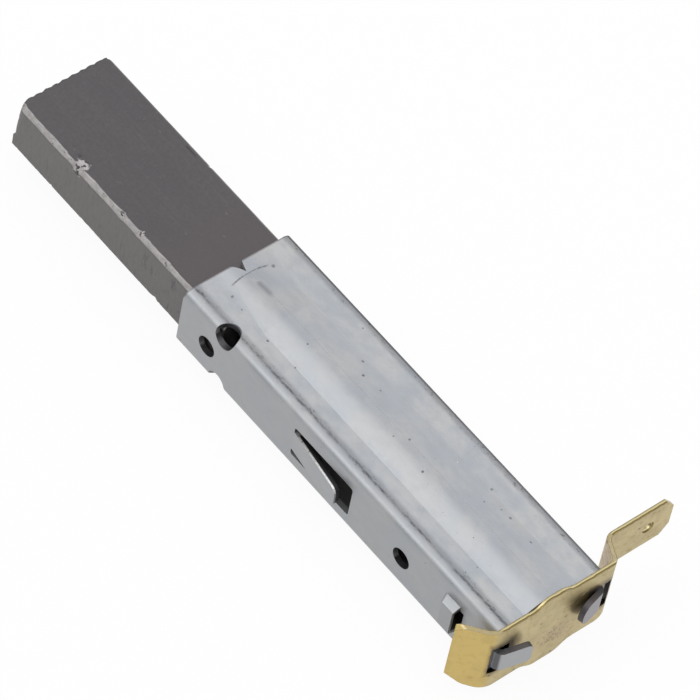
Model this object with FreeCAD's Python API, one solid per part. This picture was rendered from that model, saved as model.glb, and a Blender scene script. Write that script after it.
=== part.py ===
import FreeCAD, Part
import math
import os

# Carbon brush of a vacuum cleaner motor, in its folded metal holder with a brass terminal plate.
# Millimetres. X runs from the terminal plate at the rear to the contact end, Z is up, and the
# side with the lanced catch faces +Y. The origin is on the sleeve's axis at its rear end.

Vector = FreeCAD.Vector

# Carbon block
CARBON_LENGTH = 32.2
CARBON_WIDTH = 11.0
CARBON_THICKNESS = 6.3
CARBON_EDGE_BREAK = 0.3
CARBON_WORN_BREAK = 0.55
CARBON_CORNER_ROUND = 0.9
SCORE_PITCH = 1.05
SCORE_DEPTH = 0.28
CHIP_PLACES = (
    # distance from the contact end, side of the width, top or bottom, size along, size inwards
    (9.6, 1, 1, 1.9, 1.0),
    (17.6, -1, 1, 1.4, 0.7),
    (16.9, 1, 1, 0.9, 0.75),
    (22.3, 1, 1, 1.1, 0.7),
)
CHIP_TURN = 12.0

# Sleeve, one sheet folded to a rectangular tube
SHEET = 0.6
SIDE_PLAY = 0.4
FLAT_PLAY = 0.15
SLEEVE_LENGTH = 46.4
GUIDED_LENGTH = 5.0
FOLD_RADIUS = 1.0
CUT_MARGIN = 0.6
SEAM_GAP = 0.02
MOUTH_NOTCH_DEPTH = 1.3
MOUTH_NOTCH_LEFT = 0.95
MOUTH_NOTCH_RIGHT = 0.45
MOUTH_NOTCH_HOLLOW = 0.45

# Arched channels along the top and bottom, which give the round spring its room
CHANNEL_WIDTH = 6.4
CHANNEL_CREST_WIDTH = 1.6
CHANNEL_FROM_MOUTH = 1.6
CHANNEL_RUN_OUT = 6.4
CHANNEL_STEP = 0.22

# Holes and lances of the side wall, placed from the mouth, and the nub from the rear
ROUND_HOLE_DIAMETER = 2.3
ROUND_HOLES_FROM_MOUTH = (4.1, 33.3)
CORNER_HOLE_DIAMETER = 2.45
CORNER_HOLE_FROM_MOUTH = 6.1
WINDOW_FROM_MOUTH = 17.2
WINDOW_LENGTH = 8.6
WINDOW_HEIGHT = 4.0
CATCH_LENGTH = 7.5
CATCH_HEIGHT = 2.55
CATCH_LIFT = 1.1
CATCH_BEND_RADIUS = 1.2
CATCH_CORNER = 0.8
NUB_FROM_REAR = 4.85
NUB_LENGTH = 2.15
NUB_HEIGHT = 4.2
NUB_LIFT = 0.9
NUB_SLOPE = 0.45
NUB_SHEET = 0.3
NUB_CUT_BACK = 0.6
NUB_ROUND = 0.25
LANCE_LEVEL = 0.05

# Tongues of the side walls, bent over the terminal plate
TONGUE_LEVEL = -0.1
TONGUE_BEND_ANGLE = 77.0
TONGUE_BEND_RADIUS = 0.3
TONGUE_GAP = 0.05
TONGUE_SHAPES = {
    # side: reach of the bent end, height, rounding of its corners
    1: (3.4, 2.5, 0.6),
    -1: (3.0, 2.9, 1.3),
}

# Brass terminal plate
BRASS = 0.5
FLANGE_BEND_RADIUS = 1.8
JOGGLE_BEND_RADIUS = 0.9
PLATE_TOP_RISE = 0.15
PLATE_HEIGHT = 8.55
PLATE_LEFT = 6.85
PLATE_RIGHT = 7.75
LOBES = {
    # top or bottom: middle across the plate, half span, half width of the flat crest, height
    1: (-0.3, 2.9, 0.5, 0.75),
    -1: (-0.4, 3.4, 0.9, 0.9),
}
FLANGE_FORWARD = 3.0
FLANGE_OUTWARD = 2.3
FLANGE_CHAMFER = 1.3
FLANGE_TOP_RISE = 0.05
FLANGE_TOP_DROP = 1.1
FLANGE_TOP_CORNER = 1.0
FLANGE_CORNER_ROUND = 0.6
SLOT_SPANS = {
    # side: clearance inside the wall, clearance outside it
    1: (0.95, 0.35),
    -1: (0.2, 1.0),
}
SLOT_HEIGHT = 3.9
SLOT_LEVEL = -0.3
JOGGLE_FORWARD = 3.0
JOGGLE_OUTWARD = 1.7
SPADE_DROP = 0.85
SPADE_LENGTH = 8.25
SPADE_HEIGHT = 5.2
SPADE_TIP_ALONG = 1.0
SPADE_TIP_ACROSS = 1.2
SPADE_HOLE_DIAMETER = 1.4
SPADE_HOLE_FROM_TIP = 2.9
PLATE_CORNER = 0.5

# Spring, shunt and the tamped plug that holds the shunt in the carbon
SPRING_DIAMETER = 7.4
SPRING_WIRE = 0.6
SPRING_TURNS = 18
SPRING_STEPS_PER_TURN = 14
SPRING_SECTION_SIDES = 6
SPRING_CLEARANCE = 0.35
SPRING_END_GAP = 0.05
SHUNT_DIAMETER = 2.0
PLUG_DIAMETER = 3.2
PLUG_DEPTH = 5.0

# Sizes that follow from those above
SLEEVE_WIDTH = CARBON_WIDTH + 2 * (SIDE_PLAY + SHEET)
SLEEVE_HEIGHT = CARBON_THICKNESS + 2 * (FLAT_PLAY + SHEET)
HALF_WIDTH = SLEEVE_WIDTH / 2
HALF_HEIGHT = SLEEVE_HEIGHT / 2
CARBON_REAR = SLEEVE_LENGTH - GUIDED_LENGTH
CARBON_FRONT = CARBON_REAR + CARBON_LENGTH
CHANNEL_RISE = SPRING_DIAMETER / 2 + SPRING_CLEARANCE + SHEET - HALF_HEIGHT
CHANNEL_RADIUS = (CHANNEL_WIDTH ** 2 / 4 + CHANNEL_RISE ** 2) / (2 * CHANNEL_RISE)
CHANNEL_FRONT = SLEEVE_LENGTH - CHANNEL_FROM_MOUTH
PLATE_TOP = HALF_HEIGHT + PLATE_TOP_RISE
PLATE_BOTTOM = PLATE_TOP - PLATE_HEIGHT
SPADE_TOP = PLATE_TOP - SPADE_DROP
JOGGLE_END = -PLATE_RIGHT - JOGGLE_OUTWARD
SPADE_TIP = JOGGLE_END - SPADE_LENGTH
WALL_MIDDLE = HALF_WIDTH - SHEET / 2


def turn_at(path, index):
    """Signed turn of a path at one of its inner points, with the unit directions before and after."""
    before = path[index].sub(path[index - 1]).normalize()
    after = path[index + 1].sub(path[index]).normalize()
    return before, after, math.atan2(before.cross(after).z, before.dot(after))


def offset_side(path, distance, bend_radii, thickness):
    """Edges of a bent sheet's face, at a signed distance to the left of its middle line."""
    corners = []
    for index, point in enumerate(path):
        if index in (0, len(path) - 1):
            neighbour = path[1] if index == 0 else path[-2]
            along = neighbour.sub(point) if index == 0 else point.sub(neighbour)
            along.normalize()
            corners.append((point.add(Vector(-along.y, along.x, 0) * distance), 0.0, along, along))
            continue
        before, after, turn = turn_at(path, index)
        left = Vector(-before.y, before.x, 0)
        corner = point.add(left * distance).sub(before * (distance * math.tan(turn / 2)))
        inside = turn * distance > 0
        radius = bend_radii[index - 1] if inside else bend_radii[index - 1] + thickness
        corners.append((corner, radius * math.tan(abs(turn) / 2), before, after))
    edges = []
    start = corners[0][0]
    for corner, setback, before, after in corners[1:-1]:
        first = corner.sub(before * setback)
        last = corner.add(after * setback)
        to_middle = first.add(last) * 0.5 - corner
        half_turn = math.atan2(before.cross(after).Length, before.dot(after)) / 2
        radius = setback / math.tan(half_turn)
        depth = radius / math.cos(half_turn) - radius
        middle = corner.add(to_middle.normalize() * depth)
        edges.append(Part.makeLine(start, first))
        edges.append(Part.Arc(first, middle, last).toShape())
        start = last
    edges.append(Part.makeLine(start, corners[-1][0]))
    return edges


def bent_sheet(path, thickness, bend_radii, low, high):
    """Sheet bent along a path in plan, standing from one height to another; each bend has its inner radius."""
    points = [Vector(x, y, 0) for x, y in path]
    left = offset_side(points, thickness / 2, bend_radii, thickness)
    right = offset_side(points, -thickness / 2, bend_radii, thickness)
    start = Part.makeLine(left[0].firstVertex().Point, right[0].firstVertex().Point)
    end = Part.makeLine(left[-1].lastVertex().Point, right[-1].lastVertex().Point)
    outline = Part.Wire(Part.__sortEdges__(left + right + [start, end]))
    face = Part.Face(outline)
    face.translate(Vector(0, 0, low))
    return face.extrude(Vector(0, 0, high - low))


def bar(x_start, x_end, width, height):
    """Rectangular bar along X, centred on the axis."""
    return Part.makeBox(x_end - x_start, width, height, Vector(x_start, -width / 2, -height / 2))


def edges_along(shape, direction):
    """Straight edges of a shape that run along a direction."""
    chosen = []
    for edge in shape.Edges:
        if isinstance(edge.Curve, Part.Line) and abs(edge.tangentAt(edge.FirstParameter).dot(direction)) > 0.999:
            chosen.append(edge)
    return chosen


def rounded_bar(x_start, x_end, width, height, radius):
    """Bar along X with its four long edges rounded."""
    plain = bar(x_start, x_end, width, height)
    return plain.makeFillet(radius, edges_along(plain, Vector(1, 0, 0)))


def rod(x_start, x_end, radius):
    """Round rod on the axis."""
    return Part.makeCylinder(radius, x_end - x_start, Vector(x_start, 0, 0), Vector(1, 0, 0))


def polyline(points):
    """Straight edges through the points."""
    return [Part.makeLine(start, end) for start, end in zip(points, points[1:])]


def arch_point(radius, x, y):
    """Point of the channel's arch at a distance across from its middle."""
    return Vector(x, y, HALF_HEIGHT + CHANNEL_RISE - CHANNEL_RADIUS + math.sqrt(radius ** 2 - y ** 2))


def channel_form(inset, x_start):
    """Arched channel with a flat crest on the top, which sinks towards its front end to a small step."""
    radius = CHANNEL_RADIUS - inset
    foot, crest = CHANNEL_WIDTH / 2, CHANNEL_CREST_WIDTH / 2
    between = (foot + crest) / 2
    left = [arch_point(radius, x_start, y) for y in (foot, between, crest)]
    right = [arch_point(radius, x_start, -y) for y in (crest, between, foot)]
    lower = polyline([right[-1], Vector(x_start, -foot, 0), Vector(x_start, foot, 0), left[0]])
    arch = [Part.Arc(*left).toShape(), Part.makeLine(left[-1], right[0]), Part.Arc(*right).toShape()]
    profile = Part.Face(Part.Wire(arch + lower))
    bend = CHANNEL_FRONT - CHANNEL_RUN_OUT
    level_part = profile.extrude(Vector(bend - x_start, 0, 0))
    profile.translate(Vector(bend - x_start, 0, 0))
    run_out = CHANNEL_RUN_OUT - inset
    sink = (CHANNEL_RISE - CHANNEL_STEP) * run_out / CHANNEL_RUN_OUT
    return level_part.fuse(profile.extrude(Vector(run_out, 0, -sink)))


def both_channels(inset, x_start):
    """Channels of the top and bottom."""
    top = channel_form(inset, x_start)
    return [top, top.mirror(Vector(0, 0, 0), Vector(0, 0, 1))]


def sleeve_tube():
    """Rectangular tube with its arched channels, still without openings."""
    outside = rounded_bar(0, SLEEVE_LENGTH, SLEEVE_WIDTH, SLEEVE_HEIGHT, FOLD_RADIUS)
    outside = outside.fuse(both_channels(0, 0))
    inner_width = SLEEVE_WIDTH - 2 * SHEET
    inner_height = SLEEVE_HEIGHT - 2 * SHEET
    inside = rounded_bar(-CUT_MARGIN, SLEEVE_LENGTH + CUT_MARGIN, inner_width, inner_height, FOLD_RADIUS - SHEET)
    return outside.cut([inside] + both_channels(SHEET, -CUT_MARGIN))


def seam_cut():
    """Butt seam along the middle of the top, opening to a notch at the mouth."""
    slit_length = SLEEVE_LENGTH + CUT_MARGIN
    slit = Part.makeBox(slit_length, SEAM_GAP, SLEEVE_HEIGHT, Vector(-CUT_MARGIN, -SEAM_GAP / 2, 0))
    mouth = SLEEVE_LENGTH + CUT_MARGIN
    notch_end = SLEEVE_LENGTH - MOUTH_NOTCH_DEPTH
    left_corner = Vector(SLEEVE_LENGTH, MOUTH_NOTCH_LEFT, 0)
    left_middle = Vector(SLEEVE_LENGTH - MOUTH_NOTCH_HOLLOW, MOUTH_NOTCH_LEFT / 2, 0)
    tip = Vector(notch_end, 0, 0)
    right_corner = Vector(SLEEVE_LENGTH, -MOUTH_NOTCH_RIGHT, 0)
    outline = [
        Part.Arc(left_corner, left_middle, tip).toShape(),
        Part.makeLine(tip, right_corner),
        Part.makeLine(right_corner, Vector(mouth, -MOUTH_NOTCH_RIGHT, 0)),
        Part.makeLine(Vector(mouth, -MOUTH_NOTCH_RIGHT, 0), Vector(mouth, MOUTH_NOTCH_LEFT, 0)),
        Part.makeLine(Vector(mouth, MOUTH_NOTCH_LEFT, 0), left_corner),
    ]
    notch = Part.Face(Part.Wire(outline)).extrude(Vector(0, 0, SLEEVE_HEIGHT))
    return slit.fuse(notch)


def corner_hole():
    """Round hole punched before folding, so it goes square through both walls and the fold between them."""
    radius = CORNER_HOLE_DIAMETER / 2
    x = SLEEVE_LENGTH - CORNER_HOLE_FROM_MOUTH
    fold_y = HALF_WIDTH - FOLD_RADIUS
    fold_z = HALF_HEIGHT - FOLD_RADIUS
    half_arc = math.pi / 4 * (FOLD_RADIUS - SHEET / 2)
    half_chord = math.sqrt(radius ** 2 - half_arc ** 2)
    fold_radius = math.hypot(half_chord, FOLD_RADIUS * math.sin(math.pi / 4))
    through_top = Part.makeCylinder(radius, SLEEVE_HEIGHT, Vector(x, fold_y + half_arc, 0), Vector(0, 0, 1))
    through_side = Part.makeCylinder(radius, SLEEVE_WIDTH, Vector(x, 0, fold_z + half_arc), Vector(0, 1, 0))
    through_fold = Part.makeCylinder(fold_radius, 3 * FOLD_RADIUS, Vector(x, fold_y, fold_z), Vector(0, 1, 1))
    low_x = x - 2 * radius
    above = Part.makeBox(4 * radius, 2 * radius, SLEEVE_HEIGHT, Vector(low_x, fold_y - 2 * radius, fold_z))
    beside = Part.makeBox(4 * radius, SLEEVE_WIDTH, 2 * radius, Vector(low_x, fold_y, fold_z - 2 * radius))
    corner = Part.makeBox(4 * radius, SLEEVE_WIDTH, SLEEVE_HEIGHT, Vector(low_x, fold_y, fold_z))
    return [through_top.common(above), through_side.common(beside), through_fold.common(corner)]


def side_openings():
    """Round holes, corner holes and the window of the catch, all on the +Y side."""
    cutters = []
    wall_inside = HALF_WIDTH - SHEET - CUT_MARGIN
    through_wall = SHEET + 2 * CUT_MARGIN
    for from_mouth in ROUND_HOLES_FROM_MOUTH:
        start = Vector(SLEEVE_LENGTH - from_mouth, wall_inside, 0)
        cutters.append(Part.makeCylinder(ROUND_HOLE_DIAMETER / 2, through_wall, start, Vector(0, 1, 0)))
    cutters.extend(corner_hole())
    cutters.extend([cutter.mirror(Vector(0, 0, 0), Vector(0, 0, 1)) for cutter in corner_hole()])
    window_start = SLEEVE_LENGTH - WINDOW_FROM_MOUTH - WINDOW_LENGTH
    corner = Vector(window_start, wall_inside, LANCE_LEVEL - WINDOW_HEIGHT / 2)
    window = Part.makeBox(WINDOW_LENGTH, through_wall, WINDOW_HEIGHT, corner)
    cutters.append(window.makeFillet(SHEET / 2, edges_along(window, Vector(0, 1, 0))))
    return cutters


def catch_spring():
    """Lanced catch: a strip rooted at the mouth end of its window and bent outwards."""
    root = SLEEVE_LENGTH - WINDOW_FROM_MOUTH
    low = LANCE_LEVEL - CATCH_HEIGHT / 2
    path = [(root + SHEET, WALL_MIDDLE), (root, WALL_MIDDLE), (root - CATCH_LENGTH, WALL_MIDDLE + CATCH_LIFT)]
    strip = bent_sheet(path, SHEET, (CATCH_BEND_RADIUS,), low, low + CATCH_HEIGHT)
    tip = root - CATCH_LENGTH
    corners = [e for e in strip.Edges if is_corner_at(e, tip, SHEET)]
    return strip.makeFillet(CATCH_CORNER, corners)


def is_corner_at(edge, x, reach):
    """True for a short straight edge through the sheet near a given place along X."""
    box = edge.BoundBox
    straight = isinstance(edge.Curve, Part.Line)
    through_sheet = box.ZLength < 1e-6 and abs(edge.Length - SHEET) < SHEET / 5
    return straight and through_sheet and abs(box.Center.x - x) < reach


def nub_form(inset, cut_back, low, high):
    """Truncated wedge with an upright rear and three sloping sides, smaller all round by an inset."""
    rear = NUB_FROM_REAR - cut_back
    front = NUB_FROM_REAR + NUB_LENGTH - inset
    half_height = NUB_HEIGHT / 2 - inset
    return Part.makeWedge(rear, low, LANCE_LEVEL - half_height,
                          LANCE_LEVEL - half_height + NUB_SLOPE, rear,
                          front, high, LANCE_LEVEL + half_height,
                          LANCE_LEVEL + half_height - NUB_SLOPE, front - NUB_SLOPE)


def nub_and_hollow():
    """Lanced nub with a flat top, open at its rear, and the hollow under it."""
    nub = nub_form(0, 0, HALF_WIDTH - SHEET / 2, HALF_WIDTH + NUB_LIFT)
    rear = nub.BoundBox.XMin
    rims = [e for e in nub.Edges if e.BoundBox.XMax > rear + NUB_ROUND and e.BoundBox.YMax > HALF_WIDTH + NUB_ROUND]
    wall_inside = HALF_WIDTH - SHEET - CUT_MARGIN
    hollow = nub_form(NUB_SHEET, NUB_CUT_BACK, wall_inside, HALF_WIDTH + NUB_LIFT - NUB_SHEET)
    return nub.makeFillet(NUB_ROUND, rims), hollow


def tongue(side):
    """Tongue of a side wall: through the plate's slot, then bent over its outer face."""
    reach, height, corner_round = TONGUE_SHAPES[side]
    bend = math.radians(TONGUE_BEND_ANGLE)
    middle_radius = TONGUE_BEND_RADIUS + SHEET / 2
    bend_centre_x = -BRASS - TONGUE_GAP + TONGUE_BEND_RADIUS * math.sin(bend)
    corner = bend_centre_x - middle_radius * math.tan(bend / 2)
    tip_x = corner - reach * math.cos(bend)
    tip_y = WALL_MIDDLE - reach * math.sin(bend)
    path = [(SHEET, side * WALL_MIDDLE), (corner, side * WALL_MIDDLE), (tip_x, side * tip_y)]
    low = TONGUE_LEVEL - height / 2
    strip = bent_sheet(path, SHEET, (TONGUE_BEND_RADIUS,), low, low + height)
    corners = [e for e in strip.Edges if is_corner_at(e, tip_x, SHEET) and abs(e.BoundBox.Center.y) < abs(tip_y) + SHEET]
    return strip.makeFillet(corner_round, corners)


def holder_sleeve():
    """The whole folded sheet: tube, seam, openings, catch, nub and tongues."""
    body = sleeve_tube().cut(seam_cut())
    body = body.cut(side_openings())
    nub, hollow = nub_and_hollow()
    body = body.fuse(nub).cut(hollow)
    body = body.fuse([catch_spring(), tongue(1), tongue(-1)])
    return body.removeSplitter()


def plate_plan():
    """Plate, flange, joggle and spade seen from above, as one bent strip."""
    middle = -BRASS / 2
    spade_x = middle + JOGGLE_FORWARD
    path = [
        (middle + FLANGE_FORWARD, PLATE_LEFT + FLANGE_OUTWARD),
        (middle, PLATE_LEFT),
        (middle, -PLATE_RIGHT),
        (spade_x, JOGGLE_END),
        (spade_x, SPADE_TIP),
    ]
    radii = (FLANGE_BEND_RADIUS, JOGGLE_BEND_RADIUS, JOGGLE_BEND_RADIUS)
    return bent_sheet(path, BRASS, radii, 2 * PLATE_BOTTOM, 2 * PLATE_TOP)


def eased_edge(start, end):
    """Smooth edge between two levels, level at both ends."""
    level_way = Vector(0, math.copysign(1, end.y - start.y), 0)
    curve = Part.BSplineCurve()
    curve.interpolate(Points=[start, start.add(end) * 0.5, end], InitialTangent=level_way, FinalTangent=level_way)
    return curve.toShape()


def lobe_edges(level, side, x):
    """Swell of the plate's top or bottom edge over the channel of the sleeve, from +Y to -Y."""
    middle, half_span, half_crest, height = LOBES[side]
    crest = level + side * height
    start, crest_start = Vector(x, middle + half_span, level), Vector(x, middle + half_crest, crest)
    crest_end, end = Vector(x, middle - half_crest, crest), Vector(x, middle - half_span, level)
    return [eased_edge(start, crest_start), Part.makeLine(crest_start, crest_end), eased_edge(crest_end, end)]


def plate_outline():
    """Outline of the stamping seen from the rear, with its lobes, chamfers and spade."""
    rear = -2 * BRASS
    left = PLATE_LEFT + FLANGE_OUTWARD + BRASS
    spade_low = SPADE_TOP - SPADE_HEIGHT
    spade_shoulder = SPADE_TIP + SPADE_TIP_ALONG
    flange_top = PLATE_TOP + FLANGE_TOP_RISE
    top_lobe = lobe_edges(PLATE_TOP, 1, rear)
    bottom_lobe = lobe_edges(PLATE_BOTTOM, -1, rear)
    before_bottom_lobe = [
        (PLATE_LEFT - FLANGE_BEND_RADIUS, flange_top),
        (left - FLANGE_TOP_CORNER, flange_top),
        (left, flange_top - FLANGE_TOP_DROP),
        (left, PLATE_BOTTOM + FLANGE_CHAMFER),
        (left - FLANGE_CHAMFER, PLATE_BOTTOM),
    ]
    after_bottom_lobe = [
        (-PLATE_RIGHT + 2 * PLATE_CORNER, PLATE_BOTTOM),
        (-PLATE_RIGHT, PLATE_BOTTOM + PLATE_CORNER),
        (-PLATE_RIGHT, spade_low),
        (spade_shoulder, spade_low),
        (SPADE_TIP, spade_low + SPADE_TIP_ACROSS),
        (SPADE_TIP, SPADE_TOP - SPADE_TIP_ACROSS),
        (spade_shoulder, SPADE_TOP),
        (JOGGLE_END, SPADE_TOP),
        (-PLATE_RIGHT, PLATE_TOP),
    ]
    left_corners = [top_lobe[0].valueAt(top_lobe[0].FirstParameter)]
    left_corners += [Vector(rear, y, z) for y, z in before_bottom_lobe]
    left_corners.append(bottom_lobe[0].valueAt(bottom_lobe[0].FirstParameter))
    right_corners = [bottom_lobe[-1].valueAt(bottom_lobe[-1].LastParameter)]
    right_corners += [Vector(rear, y, z) for y, z in after_bottom_lobe]
    right_corners.append(top_lobe[-1].valueAt(top_lobe[-1].LastParameter))
    edges = polyline(left_corners) + bottom_lobe + polyline(right_corners) + top_lobe
    outline = Part.Wire(Part.__sortEdges__(edges))
    stamping = Part.Face(outline).extrude(Vector(FLANGE_FORWARD + JOGGLE_FORWARD, 0, 0))
    flange_corners = [e for e in edges_along(stamping, Vector(1, 0, 0)) if e.BoundBox.Center.y > PLATE_LEFT]
    return stamping.makeFillet(FLANGE_CORNER_ROUND, flange_corners)


def plate_slot(side):
    """Slot for a tongue, longer outwards on the spade's side and inwards on the other."""
    inside, outside = SLOT_SPANS[side]
    inner = HALF_WIDTH - SHEET - inside
    outer = HALF_WIDTH + outside
    low_y = inner if side > 0 else -outer
    corner = Vector(-2 * BRASS, low_y, SLOT_LEVEL - SLOT_HEIGHT / 2)
    return Part.makeBox(3 * BRASS, outer - inner, SLOT_HEIGHT, corner)


def terminal_plate():
    """Brass stamping: plan and outline crossed, with the slots and the hole of the spade."""
    stamping = plate_plan().common(plate_outline())
    hole_place = Vector(0, SPADE_TIP + SPADE_HOLE_FROM_TIP, SPADE_TOP - SPADE_HEIGHT / 2)
    hole = Part.makeCylinder(SPADE_HOLE_DIAMETER / 2, JOGGLE_FORWARD + BRASS, hole_place, Vector(1, 0, 0))
    seat = bar(0, SHEET, SLEEVE_WIDTH, 2 * PLATE_HEIGHT)
    return stamping.cut([plate_slot(1), plate_slot(-1), hole, seat]).removeSplitter()


def score_cuts():
    """V grooves across the thickness of the contact end."""
    cuts = []
    count = int(CARBON_WIDTH / SCORE_PITCH)
    first = -(count - 1) * SCORE_PITCH / 2
    for index in range(count):
        y = first + index * SCORE_PITCH
        points = [
            Vector(CARBON_FRONT - SCORE_DEPTH, y, -CARBON_THICKNESS),
            Vector(CARBON_FRONT + SCORE_DEPTH, y - SCORE_PITCH, -CARBON_THICKNESS),
            Vector(CARBON_FRONT + SCORE_DEPTH, y + SCORE_PITCH, -CARBON_THICKNESS),
        ]
        face = Part.Face(Part.makePolygon(points + points[:1]))
        cuts.append(face.extrude(Vector(0, 0, 2 * CARBON_THICKNESS)))
    return cuts


def edge_chip(from_contact, side, level, along, inwards):
    """Flat-sided chip out of a long edge of the block."""
    place = Vector(CARBON_FRONT - from_contact, side * CARBON_WIDTH / 2, level * CARBON_THICKNESS / 2)
    depth = inwards * math.sqrt(2)
    chip = Part.makeBox(along, depth, depth, Vector(-along / 2, -depth / 2, -depth / 2))
    chip.rotate(Vector(0, 0, 0), Vector(1, 0, 0), 45)
    chip.rotate(Vector(0, 0, 0), Vector(0, 0, 1), side * CHIP_TURN)
    chip.translate(place)
    return chip


def carbon_brush():
    """Carbon block with broken edges, scored contact end, chips and the bore for the shunt."""
    block = Part.makeBox(CARBON_LENGTH, CARBON_WIDTH, CARBON_THICKNESS,
                         Vector(CARBON_REAR, -CARBON_WIDTH / 2, -CARBON_THICKNESS / 2))
    long_edges = edges_along(block, Vector(1, 0, 0))
    worn = [e for e in long_edges if e.BoundBox.Center.y > 0 and e.BoundBox.Center.z > 0]
    sharp = [e for e in long_edges if e.BoundBox.Center.y < 0 or e.BoundBox.Center.z < 0]
    block = block.makeChamfer(CARBON_EDGE_BREAK, sharp)
    worn_edge = [e for e in edges_along(block, Vector(1, 0, 0))
                 if (e.BoundBox.Center - worn[0].BoundBox.Center).Length < CARBON_EDGE_BREAK]
    block = block.makeChamfer(CARBON_WORN_BREAK, worn_edge)
    upright = edges_along(block, Vector(0, 0, 1))
    front_left = [e for e in upright if e.BoundBox.Center.x > CARBON_FRONT - 1e-3 and e.BoundBox.Center.y > 0]
    block = block.makeFillet(CARBON_CORNER_ROUND, front_left)
    cuts = score_cuts() + [edge_chip(*chip) for chip in CHIP_PLACES]
    cuts.append(rod(CARBON_REAR - PLUG_DEPTH, CARBON_REAR + PLUG_DEPTH, PLUG_DIAMETER / 2))
    return block.cut(cuts).removeSplitter()


def tamped_plug():
    """Copper powder tamped into the bore round the end of the shunt."""
    return rod(CARBON_REAR, CARBON_REAR + PLUG_DEPTH, PLUG_DIAMETER / 2)


def spring_point(turn):
    """Middle of the spring's wire after a number of turns; the end turns lie closed."""
    closed_pitch = SPRING_WIRE + SPRING_END_GAP
    start = SPRING_WIRE / 2 + SPRING_END_GAP
    end = CARBON_REAR - start
    open_pitch = (end - start - 2 * closed_pitch) / (SPRING_TURNS - 2)
    x = start + closed_pitch * min(turn, 1)
    x += open_pitch * max(0, min(turn, SPRING_TURNS - 1) - 1)
    x += closed_pitch * max(0, turn - SPRING_TURNS + 1)
    radius = (SPRING_DIAMETER - SPRING_WIRE) / 2
    angle = 2 * math.pi * turn
    return Vector(x, radius * math.cos(angle), radius * math.sin(angle))


def wire_ring(centre, along, previous, travel):
    """Corners of the wire's section carried on along the last stretch to the mitre plane at a point."""
    return [corner.add(travel * (centre.sub(corner).dot(along) / travel.dot(along))) for corner in previous]


def brush_spring():
    """Compression spring with closed ends, its wire a many-sided bar mitred round the coil."""
    steps = SPRING_TURNS * SPRING_STEPS_PER_TURN
    path = [spring_point(step / SPRING_STEPS_PER_TURN) for step in range(steps + 1)]
    travel = path[1].sub(path[0]).normalize()
    outwards = Vector(0, 1, 0)
    sideways = travel.cross(outwards).normalize()
    ring = []
    for index in range(SPRING_SECTION_SIDES):
        angle = 2 * math.pi * (index + 0.5) / SPRING_SECTION_SIDES
        reach = outwards * math.cos(angle) + sideways * math.sin(angle)
        ring.append(path[0].add(reach * (SPRING_WIRE / 2)))
    faces = [Part.Face(Part.makePolygon(ring + ring[:1]))]
    for index in range(1, steps + 1):
        leaving = path[min(index + 1, steps)].sub(path[index]).normalize() if index < steps else travel
        mitre = travel.add(leaving).normalize()
        following = wire_ring(path[index], mitre, ring, travel)
        for side in range(SPRING_SECTION_SIDES):
            after = (side + 1) % SPRING_SECTION_SIDES
            corners = [ring[side], ring[after], following[after], following[side]]
            faces.append(Part.Face(Part.makePolygon(corners + corners[:1])))
        ring = following
        travel = leaving
    faces.append(Part.Face(Part.makePolygon(ring + ring[:1])))
    return Part.makeSolid(Part.makeShell(faces))


def copper_shunt():
    """Braided copper lead from the plate to the carbon, drawn taut along the axis."""
    return rod(0, CARBON_REAR, SHUNT_DIAMETER / 2)


NODES = {
    "holder_sleeve": holder_sleeve,
    "terminal_plate": terminal_plate,
    "carbon_brush": carbon_brush,
    "tamped_plug": tamped_plug,
    "brush_spring": brush_spring,
    "copper_shunt": copper_shunt,
}

os.makedirs("parts", exist_ok=True)
for name, make in NODES.items():
    shape = make()
    solids = shape.Solids
    if len(solids) != 1 or not shape.isValid():
        raise ValueError(f"{name} should be one valid solid, but it has {len(solids)}")
    shape = solids[0]
    shape.exportStep(f"parts/{name}.step")
    box = shape.BoundBox
    print(f"{name}: {shape.Volume:.1f} mm3, {box.XMin:.2f}..{box.XMax:.2f}, "
          f"{box.YMin:.2f}..{box.YMax:.2f}, {box.ZMin:.2f}..{box.ZMax:.2f}")
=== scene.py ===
# %% [markdown]
# This lesson dresses a carbon brush for a small motor. The solids come from a CAD program and are
# already in place, so the work here is the camera, the light, the finishes, and the few pieces
# whose real shape is finer than a solid: the chipped carbon, the round spring and the braid.

# %% Load the solids
import math

import bpy
from mathutils import Matrix, Vector, noise


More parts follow.
